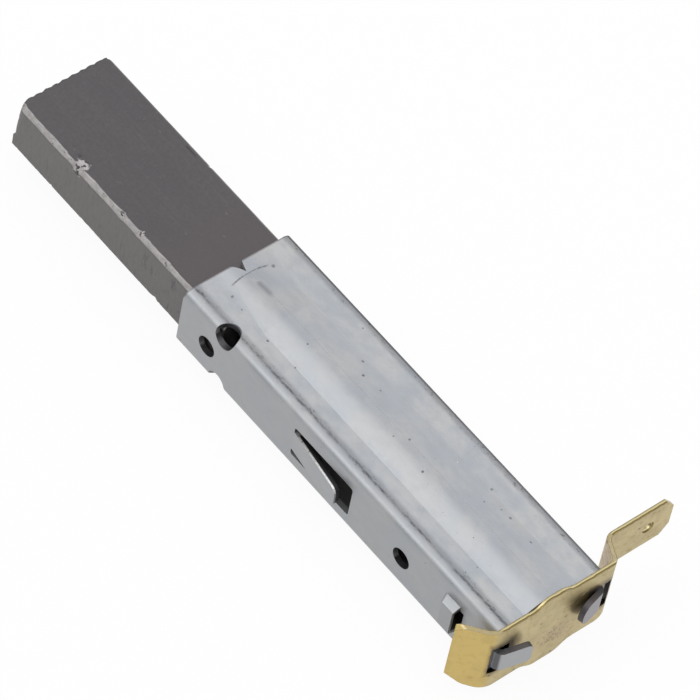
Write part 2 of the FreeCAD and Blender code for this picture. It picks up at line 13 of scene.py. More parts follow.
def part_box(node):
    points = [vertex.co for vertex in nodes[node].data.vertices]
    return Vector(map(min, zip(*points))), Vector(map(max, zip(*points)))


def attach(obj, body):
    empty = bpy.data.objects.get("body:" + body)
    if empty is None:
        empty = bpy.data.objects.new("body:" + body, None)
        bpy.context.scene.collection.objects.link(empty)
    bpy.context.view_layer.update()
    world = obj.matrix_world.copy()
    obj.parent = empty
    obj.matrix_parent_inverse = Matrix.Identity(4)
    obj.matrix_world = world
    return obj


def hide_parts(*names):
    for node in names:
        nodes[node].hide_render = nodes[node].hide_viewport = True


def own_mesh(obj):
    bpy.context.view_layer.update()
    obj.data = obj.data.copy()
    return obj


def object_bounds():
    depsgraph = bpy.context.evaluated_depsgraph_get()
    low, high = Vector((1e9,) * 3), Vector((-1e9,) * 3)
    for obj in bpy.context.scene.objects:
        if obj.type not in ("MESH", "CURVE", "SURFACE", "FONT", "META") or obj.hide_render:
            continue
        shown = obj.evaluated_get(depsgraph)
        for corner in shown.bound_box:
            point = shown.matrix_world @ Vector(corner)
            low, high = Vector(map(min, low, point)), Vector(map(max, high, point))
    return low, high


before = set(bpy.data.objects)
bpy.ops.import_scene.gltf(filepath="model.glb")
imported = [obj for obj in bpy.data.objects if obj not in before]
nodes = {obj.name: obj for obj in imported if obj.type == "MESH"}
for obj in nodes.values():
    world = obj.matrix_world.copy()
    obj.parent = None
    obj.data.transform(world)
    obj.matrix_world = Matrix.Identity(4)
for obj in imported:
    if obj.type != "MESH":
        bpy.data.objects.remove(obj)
cad_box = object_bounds()
MM = 0.001
print("solids:", ", ".join(sorted(nodes)))

# %% [markdown]
# The photograph was taken with a long lens from above the rear end. The camera's place came from
# fitting the known corners of the part to their places in the picture.

# %% Camera
PHOTO_SIZE = 700
FOCAL_PIXELS = 6214.1
CAMERA_PLACE = Vector((-0.20006, 0.26511, 0.46690))
LOOKING = Vector((0.39874, -0.45883, -0.79403))
RIGHT = Vector((-0.62469, -0.76979, 0.13112))

camera_data = bpy.data.cameras.new("camera")
camera_data.sensor_width = 36.0
camera_data.lens = FOCAL_PIXELS / PHOTO_SIZE * camera_data.sensor_width
camera_data.clip_start = 0.01
camera = bpy.data.objects.new("camera", camera_data)
bpy.context.scene.collection.objects.link(camera)
back = -LOOKING.normalized()
up = back.cross(RIGHT).normalized()
turned = Matrix((up.cross(back), up, back)).transposed()
camera.matrix_world = Matrix.Translation(CAMERA_PLACE) @ turned.to_4x4()
bpy.context.scene.camera = camera
bpy.context.scene.view_settings.view_transform = "Standard"
print(f"lens {camera_data.lens:.1f} mm")

# %% [markdown]
# A finish is a network of nodes. Written as Python, its arithmetic reads like any other formula:
# the class below wraps a socket, and each operator on it adds one Math node. Nearly every mask
# asks whether a value is high, low or near a middle, so those three questions get their own names.

# %% Sockets that can be calculated with
class Socket:
    """Output of a node that works in Python expressions."""

    def __init__(self, board, output):
        self.board = board
        self.output = output

    def math(self, operation, *values):
        return self.board.node("ShaderNodeMath", {"operation": operation}, dict(enumerate(values)))

    def __add__(self, other):
        return self.math("ADD", self, other)

    def __sub__(self, other):
        return self.math("SUBTRACT", self, other)

    def __rsub__(self, other):
        return self.math("SUBTRACT", other, self)

    def __mul__(self, other):
        return self.math("MULTIPLY", self, other)

    def __truediv__(self, other):
        return self.math("DIVIDE", self, other)

    def __pow__(self, other):
        return self.math("POWER", self, other)

    def __abs__(self):
        return self.math("ABSOLUTE", self)

    __radd__ = __add__
    __rmul__ = __mul__

    def least(self, other):
        return self.math("MINIMUM", self, other)

    def most(self, other):
        return self.math("MAXIMUM", self, other)

    def ramp(self, low, high, start=0.0, end=1.0):
        """Smooth step from start to end while this value goes from low to high."""
        settings = {"interpolation_type": "SMOOTHSTEP"}
        inputs = {0: self, 1: low, 2: high, 3: start, 4: end}
        return self.board.node("ShaderNodeMapRange", settings, inputs)

    def below(self, full, none):
        """1 up to the first value, falling to 0 at the second."""
        return self.ramp(full, none, 1.0, 0.0)

    def near(self, middle, full, none):
        """1 within the first distance of a middle, falling to 0 at the second distance."""
        return abs(self - middle).below(full, none)


# %% [markdown]
# The board adds the nodes. It serves a material as well as the world, and the one method that
# makes a node takes its type, its settings and the values or links of its sockets.

# %% A board of nodes
class Board:
    """Node tree whose nodes are placed by Python expressions."""

    def __init__(self, tree, output_kind):
        self.tree = tree
        self.tree.nodes.clear()
        self.output = self.tree.nodes.new(output_kind)

    def node(self, kind, settings=None, inputs=None, output=0):
        """Adds a node, sets it up, fills its sockets and hands back one of its outputs."""
        made = self.tree.nodes.new(kind)
        for name, value in (settings or {}).items():
            setattr(made, name, value)
        for key, value in (inputs or {}).items():
            socket = made.inputs[key]
            if isinstance(value, Socket):
                self.tree.links.new(value.output, socket)
            elif socket.type == "RGBA":
                socket.default_value = (*value[:3], 1.0)
            else:
                socket.default_value = value
        return Socket(self, made.outputs[output])

    def parts_of(self, vector):
        """The three numbers of a vector."""
        return [self.node("ShaderNodeSeparateXYZ", None, {0: vector}, axis) for axis in "XYZ"]

    def ray(self, kind):
        """1 for the rays of one kind, such as those that come from the camera."""
        return self.node("ShaderNodeLightPath", output=f"Is {kind} Ray")

    def show(self, shader):
        """Makes a shader the result of the board."""
        self.tree.links.new(shader.output, self.output.inputs["Surface"])


# %% [markdown]
# A finish is painted in layers, as a model maker would: a ground colour first, and then each mark
# over what is there, as far as its mask says. The masks are made from the place on the part in
# millimetres, the way the surface faces there, and noise. Noise whose place is stretched along one
# axis gives grain and scratches that run that way.

# %% A finish painted in layers
class Finish(Board):
    """Material painted in layers over the place on the part."""

    def __init__(self, name):
        self.material = bpy.data.materials.new(name)
        self.material.use_nodes = True
        super().__init__(self.material.node_tree, "ShaderNodeOutputMaterial")
        metres = self.node("ShaderNodeTexCoord", output="Object")
        self.place = self.node("ShaderNodeVectorMath", {"operation": "SCALE"}, {0: metres, "Scale": 1 / MM})
        self.x, self.y, self.z = self.parts_of(self.place)
        facing = self.node("ShaderNodeTexCoord", output="Normal")
        self.face_x, self.face_y, self.face_z = self.parts_of(facing)
        self.colour = (1.0, 1.0, 1.0)

    def stretched(self, scales, shift):
        """Place with each axis scaled: a small number draws the pattern out along its axis."""
        scaled = self.node("ShaderNodeVectorMath", {"operation": "MULTIPLY"}, {0: self.place, 1: scales})
        return self.node("ShaderNodeVectorMath", {"operation": "ADD"}, {0: scaled, 1: shift})

    def noise(self, scale, detail=3.0, roughness=0.5, stretch=(1.0, 1.0, 1.0), shift=(0.0, 0.0, 0.0)):
        """Soft noise, drawn out where the stretch is small."""
        vector = self.stretched(stretch, shift)
        inputs = {"Vector": vector, "Scale": scale, "Detail": detail, "Roughness": roughness}
        return self.node("ShaderNodeTexNoise", None, inputs)

    def cells(self, scale, output="Distance", stretch=(1.0, 1.0, 1.0), shift=(0.0, 0.0, 0.0)):
        """Scattered points: the distance to the nearest one, or a colour that is its own."""
        inputs = {"Vector": self.stretched(stretch, shift), "Scale": scale}
        return self.node("ShaderNodeTexVoronoi", None, inputs, output)

    def mix(self, factor, first, second):
        """Colour between two colours."""
        settings = {"data_type": "RGBA", "clamp_factor": True}
        return self.node("ShaderNodeMix", settings, {0: factor, 6: first, 7: second}, 2)

    def paint(self, mask, colour):
        """Lays a colour over what is there, as far as the mask says."""
        self.colour = self.mix(mask, self.colour, colour)

    def surface(self, metallic, roughness, height, strength, distance, normal=None):
        """Metal or matt surface with the painted colour and a relief."""
        relief = {"Height": height, "Strength": strength, "Distance": distance}
        if normal:
            relief["Normal"] = normal
        inputs = {"Base Color": self.colour, "Metallic": metallic, "Roughness": roughness,
                  "Normal": self.node("ShaderNodeBump", None, relief)}
        self.show(self.node("ShaderNodeBsdfPrincipled", None, inputs))
        return self.material


# %% [markdown]
# The sleeve is galvanised sheet, folded and pressed. Its look has many causes, and each one gets a
# small function that paints it. The first is the zinc: a dull grey with faint cloudy patches, and
# fine lines that run along the sleeve from drawing. The crest of the channel is darker, while its
# near slope and the near wall are painted paler, as painted light, the wall palest of all.

# %% Zinc and painted light
# place across the sleeve where the painted light on the near slope is strongest
NEAR_SLOPE = 1.95


def zinc_and_painted_light(steel):
    """Cloudy zinc with drawing lines, darker on the crest, with painted light on the near slope and wall.
    """
    clouds = steel.noise(0.35, 4.0, 0.55, (0.6, 0.8, 0.8))
    mottle = steel.noise(1.1, 4.0, 0.55, (0.6, 1.0, 1.0), (40.0, 0.0, 0.0))
    drawing = steel.noise(2.4, 3.0, 0.6, (0.04, 2.0, 2.0))
    steel.colour = steel.mix(clouds.ramp(0.34, 0.66), (0.268, 0.285, 0.308), (0.348, 0.349, 0.353))
    steel.paint(mottle.ramp(0.4, 0.7) * 0.35, (0.24, 0.25, 0.268))
    steel.paint(drawing.ramp(0.55, 0.75) * 0.14, (0.22, 0.23, 0.245))
    crest = steel.y.below(0.4, 2.0) * steel.y.ramp(-3.4, -2.6) * abs(steel.face_z).ramp(0.6, 0.8)
    steel.paint(crest * 0.25, (0.22, 0.225, 0.24))
    # painted light: the channel's near slope and the near wall are painted paler than the zinc
    slope_light = steel.y.near(NEAR_SLOPE, 0.2, 1.3) * steel.face_z.ramp(0.6, 0.8)
    steel.paint(slope_light * 0.45, (0.385, 0.39, 0.40))
    wall_light = steel.face_y.ramp(0.7, 0.95)
    steel.paint(wall_light * 0.5, (0.44, 0.45, 0.462))
    return clouds, mottle, drawing


print("near slope of the channel:", NEAR_SLOPE, "mm from the middle")

# %% [markdown]
# Where the sheet was bent, the tool has rubbed it. Dark rubs gather just inside the folds, with a
# scratched crease that winds among them, while the rounds themselves are clean. The far fold is
# worn dark and dull along its edge. Slow noise makes the lines wander and fade.

# %% Rubs along the folds
NEAR_RUB, FAR_RUB, CREASE, FOLD_ROUND = 5.15, 5.8, 5.25, 6.0
FAR_EDGE = -6.1


def fold_rubs(steel):
    """Rubs and a scratched crease inside the folds, and the dark edge of the far fold."""
    wander = (steel.noise(1.0, 2.0, stretch=(0.3, 0.0, 0.0)) - 0.5) * 0.3
    rub = steel.noise(2.6, 6.0, 0.85, (0.5, 1.1, 1.1))
    faded = steel.noise(1.0, stretch=(0.3, 0.1, 0.1), shift=(17.0, 0.0, 0.0)).ramp(0.35, 0.6, 0.35, 1.0)
    across = abs(steel.y) + wander
    near_side = across.near(NEAR_RUB, 0.1, 0.7) * steel.y.ramp(0.0, 0.1)
    far_side = across.near(FAR_RUB, 0.1, 0.65) * steel.y.below(-0.1, 0.0)
    rubbed = (near_side + far_side) * steel.face_z.ramp(0.4, 0.8)
    steel.paint(rubbed * 0.4, (0.15, 0.153, 0.165))
    steel.paint(rubbed * faded * rub.ramp(0.56, 0.6) * 0.8, (0.07, 0.07, 0.078))
    winding = (steel.noise(1.0, 4.0, 0.6, (0.9, 0.0, 0.0), (50.0, 0.0, 0.0)) - 0.5) * 0.5
    crease = (steel.y + winding).near(CREASE, 0.04, 0.2) * steel.face_z.ramp(0.3, 0.6)
    steel.paint(crease * faded * rub.ramp(0.42, 0.52, 0.25, 1.0) * 0.75, (0.065, 0.065, 0.072))
    far_edge = steel.y.below(FAR_EDGE, FAR_EDGE + 0.3) * steel.face_z.ramp(0.2, 0.5)
    edge_tone = steel.mix(steel.x.ramp(14.0, 34.0), (0.135, 0.137, 0.145), (0.095, 0.097, 0.105))
    steel.paint(far_edge, edge_tone)
    fold = across.near(FOLD_ROUND, 0.1, 0.4) * (steel.face_z * steel.face_y).ramp(0.1, 0.4)
    steel.paint(fold * 0.5, (0.25, 0.255, 0.263))
    return rub, rubbed, far_edge


print("rubs", NEAR_RUB, "mm from the middle on the near side,", FAR_RUB, "on the far side")

# %% [markdown]
# Handling left small dark specks, short scratches as fine as hairs and pale scuffs, and a few
# glints are painted as highlights. A cell texture scatters points, and numbers that belong to each
# point decide whether it shows and how large it is. The scratches are stronger near the rear end,
# and the painted glints are found only there.

# %% Specks, scratches and painted glints
SPECK_CELLS, GLINT_CELLS = 0.85, 0.95


def specks_and_scratches(steel):
    """Dark specks, hairs, painted glints and pale scuffs."""
    blot = steel.noise(2.6, 4.0, 0.75, (0.8, 1.6, 1.6), (9.0, 3.0, 0.0))
    chance, size = steel.parts_of(steel.cells(SPECK_CELLS, "Color"))[:2]
    ragged = (steel.noise(7.0, 3.0, 0.7) - 0.5) * 0.16
    from_speck = steel.cells(SPECK_CELLS) + ragged
    specks = (from_speck - size ** 2 * 0.12).below(0.0, 0.03) * chance.ramp(0.58, 0.6)
    hair = steel.noise(1.6, 2.0, 0.4, (0.5, 0.2, 0.6), (4.0, 8.0, 0.0))
    hairs = hair.near(0.5, 0.0, 0.004) * blot.ramp(0.52, 0.6)
    steel.paint(specks.most(blot.ramp(0.7, 0.73)) * 0.8, (0.07, 0.07, 0.08))
    steel.paint(hairs * steel.x.ramp(14.0, 30.0, 0.6, 0.3), (0.14, 0.145, 0.16))
    glint_place = {"stretch": (1.3, 1.0, 1.0), "shift": (60.0, 0.0, 0.0)}
    chance = steel.parts_of(steel.cells(GLINT_CELLS, "Color", **glint_place))[2]
    glints = steel.cells(GLINT_CELLS, **glint_place).below(0.05, 0.09) * chance.ramp(0.8, 0.82)
    glints = glints * steel.x.ramp(14.0, 24.0, 0.4, 0.0) * steel.face_z.ramp(0.4, 0.7)
    # painted highlight: a few bright glints near the rear end
    steel.paint(glints, (0.85, 0.86, 0.87))
    scuffs = steel.noise(1.8, 5.0, 0.8, (1.4, 1.4, 1.4), (0.0, 21.0, 5.0)).ramp(0.66, 0.7)
    steel.paint(scuffs * 0.35, (0.5, 0.51, 0.52))
    return specks


print("cells to the millimetre:", SPECK_CELLS, "for specks,", GLINT_CELLS, "for glints")

# %% [markdown]
# The press left its own marks. The channel ends before the mouth in a fine bowed step, and a dark
# line along it is painted shadow; near that end the seam's groove is painted dark, as painted shade.
# The largest marks on top are listed.

# %% Marks of the press, with painted shadow and shade
CHANNEL_FRONT = 44.8
CHANNEL_BOW = 0.05
SHADED_SEAM_GROOVE = (41.0, 43.6)
# along the sleeve, across it, size of a dark mark on its top
TOP_MARKS = ((44.2, -2.56, 0.24), (43.5, 3.0, 0.18), (41.8, 3.2, 0.12), (12.6, -3.4, 0.16),
             (9.0, -2.6, 0.2))


def press_marks_and_shade(steel, rub):
    """Painted shadow at the channel's end, painted shade in the seam's groove, and the dark spots on top.
    """
    # painted shadow: a dark line along the step where the channel ends
    bowed_front = CHANNEL_FRONT - steel.y * steel.y * CHANNEL_BOW
    front_shadow = steel.x.near(bowed_front, 0.02, 0.16) * abs(steel.y).below(1.8, 2.4)
    front_shadow = front_shadow * rub.ramp(0.4, 0.52, 0.5, 1.35)
    low, high = SHADED_SEAM_GROOVE
    # painted shade: a dark streak along the seam's groove near the channel's end
    groove_shade = abs(steel.y).below(0.05, 0.5) * steel.x.ramp(low, low + 0.8) * steel.x.below(high - 0.5, high)
    marks_and_shade = front_shadow.most(groove_shade * 0.6) * abs(steel.face_z).ramp(0.2, 0.5)
    for mark_x, mark_y, size in TOP_MARKS:
        away = ((steel.x - mark_x) ** 2 + (steel.y - mark_y) ** 2) ** 0.5 + (rub - 0.5) * 0.35
        marks_and_shade = marks_and_shade.most(away.below(size * 0.7, size) * steel.face_z.ramp(0.2, 0.5))
    steel.paint(marks_and_shade * 0.7, (0.1, 0.102, 0.115))
    return groove_shade


print("marks on top:", len(TOP_MARKS))

# %% [markdown]
# A sheared edge has no zinc on it and looks darker than the faces. That shows on the ends of the
# sleeve and round the tongues. The walls of the holes are painted nearly black, as painted shade.
# The seam's walls are painted pale and matt, as painted light against the shade in a gap that
# narrow, so the closed seam stays a faint line; near the channel's end they are painted darker, as
# painted shade in its groove.

# %% Sheared edges, with painted light and shade in the seam and the holes
MOUTH = 46.4
TONGUES_BEFORE = -0.3
SEAM_BOTTOM = 3.2
# middle of the hole in the near top fold, and places along the sleeve of two in the near wall
CORNER_HOLE = Vector((40.3, 5.5, 2.9))
ROUND_HOLES = (42.3, 13.1)


def sheared_edges(steel, groove_shade):
    """Ends of the sleeve, tongues, and the seam's walls in painted light and painted shade."""
    ends = abs(steel.face_x).ramp(0.6, 0.9) * steel.x.ramp(-0.2, 0.0)
    steel.paint(ends * 0.7, (0.16, 0.16, 0.175))
    tongue = steel.x.below(TONGUES_BEFORE - 0.2, TONGUES_BEFORE)
    steel.paint(tongue * 0.6, steel.mix(steel.y.ramp(-1.0, 1.0), (0.33, 0.3, 0.31), (0.46, 0.47, 0.48)))
    tongue_edge = abs(steel.face_x).below(0.6, 0.85) * tongue
    steel.paint(tongue_edge * 0.85, (0.06, 0.055, 0.065))
    # painted light: the seam's walls are painted pale against the shade in the narrow gap, and painted
    # shade darkens them at the groove
    seam_wall = abs(steel.y).below(0.02, 0.05) * abs(steel.face_y).ramp(0.7, 0.9)
    seam_wall = seam_wall * steel.z.ramp(SEAM_BOTTOM, SEAM_BOTTOM + 0.1)
    steel.paint(seam_wall, steel.mix(groove_shade, (0.8, 0.805, 0.81), (0.4, 0.4, 0.4)))
    return tongue, seam_wall


def hole_shade_and_lip(steel, rub):
    """Walls of the holes painted nearly black as painted shade, and the dark lip of the mouth."""
    along = steel.x - CORNER_HOLE.x
    slanting = steel.y - CORNER_HOLE.y - steel.z + CORNER_HOLE.z
    walls = (along * along + slanting ** 2 * 0.5).below(1.62, 1.82) * steel.y.ramp(3.9, 4.0)
    for hole_x in ROUND_HOLES:
        within = ((steel.x - hole_x) ** 2 + steel.z * steel.z).below(1.4, 1.5)
        within = within * steel.face_y.below(0.5, 0.8)
        walls = walls.most(within * steel.y.ramp(5.4, 5.5))
    # painted shade: the walls of the holes nearly black
    steel.paint(walls * 0.85, (0.04, 0.04, 0.045))
    lip = steel.x.ramp(MOUTH - 0.2, MOUTH - 0.04) * steel.face_z.ramp(0.2, 0.5)
    steel.paint(lip * rub.ramp(0.35, 0.5, 0.5, 1.0) * 0.7, (0.11, 0.1, 0.1))


print("round holes in the near wall:", len(ROUND_HOLES))

# %% [markdown]
# The inside is darker and duller. There the surface faces the axis, which the dot product of place
# and facing shows. The cut faces of the window in the near wall are painted bright, as painted
# highlight, and the catch that is bent out of it has dark sides with a broken painted highlight
# along their outer edge.

# %% Inside, window, catch and nub
WALL_INSIDE, WALL_OUTSIDE = 5.9, 6.5
WINDOW = (20.3, 29.4)
CATCH_TIP, CATCH_ROOT = 21.0, 29.2
CATCH_SLOPE = 0.147
NUB_FRONT = 7.2


def sleeve_inside(steel):
    """Darker inside, and a painted highlight on the cut faces of the window."""
    inwards = (steel.y * steel.face_y + steel.z * steel.face_z).below(-0.6, 0.6)
    inwards = inwards * steel.x.ramp(0.2, 0.4) * steel.x.below(MOUTH - 0.5, MOUTH - 0.1)
    outside_seam = (abs(steel.y) + steel.z.below(SEAM_BOTTOM, SEAM_BOTTOM + 0.1)).ramp(0.1, 0.2)
    window_height = abs(steel.z).below(2.2, 2.3)
    through_wall = steel.y.ramp(WALL_INSIDE - 0.02, WALL_INSIDE + 0.04) * abs(steel.face_z).ramp(0.6, 0.8)
    through_wall = through_wall * window_height
    inwards = inwards * outside_seam * (1 - through_wall)
    steel.paint(inwards, (0.26, 0.26, 0.263))
    low, high = WINDOW
    along_window = steel.x.ramp(low, low + 0.2) * steel.x.below(high - 0.2, high)
    # painted highlight on the cut faces of the window
    steel.paint(through_wall * along_window, (0.5, 0.51, 0.52))
    return inwards


def catch_and_nub(steel, tongue):
    """Dark sides of the catch with a broken painted highlight along their outer edge, and the greyer top of
    the nub.
    """
    depth = WALL_OUTSIDE + (CATCH_ROOT - steel.x) * CATCH_SLOPE - steel.y
    on_catch = abs(steel.z).below(1.5, 1.6) * steel.x.ramp(CATCH_TIP, CATCH_TIP + 0.3)
    on_catch = on_catch * steel.x.below(CATCH_ROOT - 0.8, CATCH_ROOT - 0.4) * steel.y.ramp(5.6, 5.7)
    sides = abs(steel.face_z).most(abs(steel.face_x)).ramp(0.55, 0.75) * on_catch
    steel.paint(sides, (0.03, 0.03, 0.033))
    broken = steel.noise(1.7, 3.0, 0.7, (1.0, 0.0, 0.0)).ramp(0.56, 0.6, 1.0, 0.3)
    rim_highlight = depth.below(0.15, 0.24) * sides * abs(steel.face_z).ramp(0.3, 0.5, 0.4, 1.0)
    # painted highlight along the outer edge of the catch's sides
    steel.paint(rim_highlight * broken, (0.78, 0.78, 0.76))
    on_nub = steel.y.ramp(WALL_OUTSIDE + 0.1, WALL_OUTSIDE + 0.3) * (1 - tongue)
    on_nub = on_nub * steel.x.below(NUB_FRONT, NUB_FRONT + 0.2)
    steel.paint(on_nub * 0.6, (0.31, 0.32, 0.33))


print("window from", WINDOW[0], "to", WINDOW[1], "mm")

# %% [markdown]
# The layers go on in order, and the same masks then set how metallic, rough and uneven the sheet
# is. The inside and the far edge reflect less, the seam's walls not at all, and rubs are rougher.

# %% Galvanised steel
def galvanised_steel():
    """Finish of the sleeve."""
    steel = Finish("galvanised_steel")
    clouds, mottle, drawing = zinc_and_painted_light(steel)
    rub, rubbed, far_edge = fold_rubs(steel)
    specks = specks_and_scratches(steel)
    groove_shade = press_marks_and_shade(steel, rub)
    tongue, seam_wall = sheared_edges(steel, groove_shade)
    hole_shade_and_lip(steel, rub)
    inwards = sleeve_inside(steel)
    catch_and_nub(steel, tongue)
    metallic = 0.85 - (inwards + far_edge) * 0.6 - seam_wall * 0.85
    roughness = 0.4 + clouds.ramp(0.3, 0.7) * 0.1 + rubbed * 0.15 + far_edge * 0.35
    height = drawing * 0.5 + mottle * 0.3 - specks * 0.6 + rub * 0.35
    return steel.surface(metallic, roughness, height, 0.2, 0.05 * MM)


steel_finish = galvanised_steel()
print("finish:", steel_finish.name)

# %% [markdown]
# The terminal plate is rolled brass that has dulled. Its faces are satin with a fine grain, the
# flange is painted lighter and yellower, as painted light, and the joggle has a reddish cast. The
# welded end of the lead has left brownish pits low in the middle of the plate, and small stains are
# scattered over it.

# %% Brass
FLANGE = 6.3
REDDISH_BEYOND, REDDISH_BEFORE = -7.9, 2.2
WELD = (-1.2, -2.0)


def brass_tones(brass):
    """Dull brass, painted lighter and yellower on the flange as painted light, and redder on the joggle."""
    dull = brass.noise(0.45, 4.0, 0.6)
    grain = brass.noise(5.0, 3.0, 0.6, (1.0, 0.25, 4.0))
    tarnish = brass.noise(1.7, 6.0, 0.7, (1.0, 0.8, 1.0), (5.0, 0.0, 0.0))
    on_flange = brass.y.ramp(FLANGE, FLANGE + 0.7)
    brass.colour = brass.mix(dull.ramp(0.35, 0.65), (0.46, 0.375, 0.19), (0.54, 0.44, 0.225))
    # painted light: the flange, turned another way, is painted lighter and yellower than the plate
    brass.paint(on_flange, (0.6, 0.45, 0.165))
    brass.paint(grain.ramp(0.45, 0.75) * 0.08 * brass.y.below(6.0, 6.6), (0.36, 0.28, 0.13))
    brass.paint(on_flange * dull.ramp(0.45, 0.7) * 0.3, (0.42, 0.3, 0.12))
    on_joggle = brass.y.below(REDDISH_BEYOND - 0.5, REDDISH_BEYOND)
    on_joggle = on_joggle * brass.x.below(REDDISH_BEFORE, REDDISH_BEFORE + 0.3)
    brass.paint(on_joggle * dull.ramp(0.3, 0.6) * 0.7, (0.5, 0.37, 0.28))
    tarnished = tarnish.ramp(0.56, 0.7) * (0.4 - on_flange * 0.28)
    brass.paint(tarnished, (0.26, 0.2, 0.12))
    return grain, tarnish, on_flange


def weld_and_stains(brass):
    """Brown pits over the weld and small stains elsewhere."""
    weld_y, weld_z = WELD
    off_y, off_z = brass.y - weld_y, brass.z - weld_z
    from_weld = (off_y * off_y * 0.45 + off_z * off_z) ** 0.5
    weld = from_weld.below(0.8, 2.2) * brass.y.below(6.0, 6.4)
    brass.paint(weld * 0.35, (0.42, 0.32, 0.2))
    pits = brass.noise(2.6, 3.0, 0.6, (1.0, 1.0, 1.4), (0.0, 12.0, 0.0)).ramp(0.55, 0.64) * weld
    brass.paint(pits * 0.7, (0.15, 0.08, 0.05))
    chance = brass.parts_of(brass.cells(0.9, "Color"))[1]
    stains = brass.cells(0.9).below(0.08, 0.2) * chance.ramp(0.72, 0.75)
    brass.paint(stains * 0.7, (0.13, 0.09, 0.06))
    return pits, stains


print("weld at", WELD, "mm")

# %% [markdown]
# Painted shadow lies round the slots, and their walls are painted nearly black, as painted shade.
# Along a sheared edge of the plate runs a dark torn line with a painted highlight line beside it,
# parallel to the faces: the distance into the sheet places them, and it shifts by the joggle's
# offset where the spade begins. The flange and the joggle's slope are bent out of that plane and
# have neither.

# %% Painted shade at the slots, and sheared edges of the plate
# middle across the plate, middle up, half width, half height of the painted shadow round each slot
SLOT_SHADOWS = ((5.6, -0.2, 1.5, 2.6), (-6.4, -0.2, 1.9, 2.6))
SLOTS_FROM, SLOTS_TO = 4.4, 8.0
BRASS_SHEET = 0.5
JOGGLE_ENDS = (-9.9, -8.0)
JOGGLE_MIDDLE = -8.95
SPADE_OFFSET = 3.0
# depth into the sheet of the dark torn line and of the painted highlight line
TORN, PAINTED_HIGHLIGHT = 0.16, 0.3


def shade_at_slots(brass, tarnish):
    """Painted shadow round the slots, and painted shade that makes their walls nearly black."""
    for middle_y, middle_z, half_y, half_z in SLOT_SHADOWS:
        out_y = abs(brass.y - middle_y) / half_y
        out_z = abs(brass.z - middle_z) / half_z
        shadow_zone = out_y.most(out_z) + (tarnish - 0.5) * 0.5
        # painted shadow round each slot
        brass.paint(shadow_zone.ramp(0.72, 1.12, 0.75, 0.0), (0.11, 0.075, 0.05))
    slot_wall = abs(brass.face_z).most(abs(brass.face_y)).ramp(0.8, 0.95)
    slot_wall = slot_wall * (abs(brass.y) - SLOTS_FROM).ramp(0.0, 0.3)
    slot_wall = slot_wall * abs(brass.z).below(2.5, 2.8) * (SLOTS_TO - abs(brass.y)).ramp(0.0, 0.3)
    # painted shade: the slot walls nearly black
    brass.paint(slot_wall * brass.x.below(0.1, 0.3), (0.03, 0.025, 0.02))
    return slot_wall


def plate_edges(brass, slot_wall):
    """Sheared edge with a dark torn line and a painted highlight line."""
    edge = abs(brass.face_z).ramp(0.55, 0.85) * (1 - slot_wall)
    brass.paint(edge, (0.26, 0.215, 0.12))
    ragged = (brass.noise(1.4, stretch=(0.0, 0.5, 0.0)) - 0.5) * 0.3
    offset = brass.y.ramp(*JOGGLE_ENDS, SPADE_OFFSET, 0.0)
    depth = brass.x + BRASS_SHEET - offset + ragged
    flat = brass.y.ramp(5.9, FLANGE, edge, 0.0) * abs(brass.y - JOGGLE_MIDDLE).ramp(0.9, 1.0)
    brass.paint(depth.near(TORN, 0.06, 0.12) * flat * 0.9, (0.1, 0.075, 0.025))
    # painted highlight: a bright line beside the torn one
    brass.paint(depth.near(PAINTED_HIGHLIGHT, 0.03, 0.09) * flat * 0.8, (0.42, 0.36, 0.2))
    return edge


def plate_brass():
    """Finish of the terminal plate."""
    brass = Finish("plate_brass")
    grain, tarnish, on_flange = brass_tones(brass)
    pits, stains = weld_and_stains(brass)
    slot_wall = shade_at_slots(brass, tarnish)
    edge = plate_edges(brass, slot_wall)
    roughness = 0.34 + tarnish.ramp(0.45, 0.7) * 0.2 - edge * 0.1
    height = grain * 0.15 + tarnish * (0.4 - on_flange * 0.3) - pits * 2.0 - stains * 0.6
    rounded = brass.node("ShaderNodeBevel", {"samples": 6}, {"Radius": 0.14 * MM})
    return brass.surface(1.0, roughness, height, 0.35, 0.08 * MM, rounded)


brass_finish = plate_brass()
print("finish:", brass_finish.name)

# %% [markdown]
# The brush is pressed carbon and graphite: nearly black, with a faint sheen and fine streaks along
# its top, and a little redder towards the sleeve. Its sides are browner and paler, with a faint
# hatching left by the saw and short gouges.

# %% Carbon
REDDER_FROM, REDDER_TO = 48.0, 57.0


def carbon_tones(carbon):
    """Black with streaks along the top."""
    grain = carbon.noise(2.6, 5.0, 0.6)
    streaks = carbon.noise(1.8, 4.0, 0.6, (0.06, 1.6, 1.6))
    cloud = carbon.noise(0.35, stretch=(0.4, 1.0, 1.0))
    carbon.colour = carbon.mix(grain.ramp(0.3, 0.7), (0.056, 0.051, 0.0545), (0.07, 0.0645, 0.0685))
    carbon.paint(streaks.ramp(0.5, 0.75) * 0.3, (0.09, 0.086, 0.089))
    carbon.paint(cloud.ramp(0.35, 0.7) * 0.5, (0.05, 0.047, 0.05))
    return grain, streaks, cloud


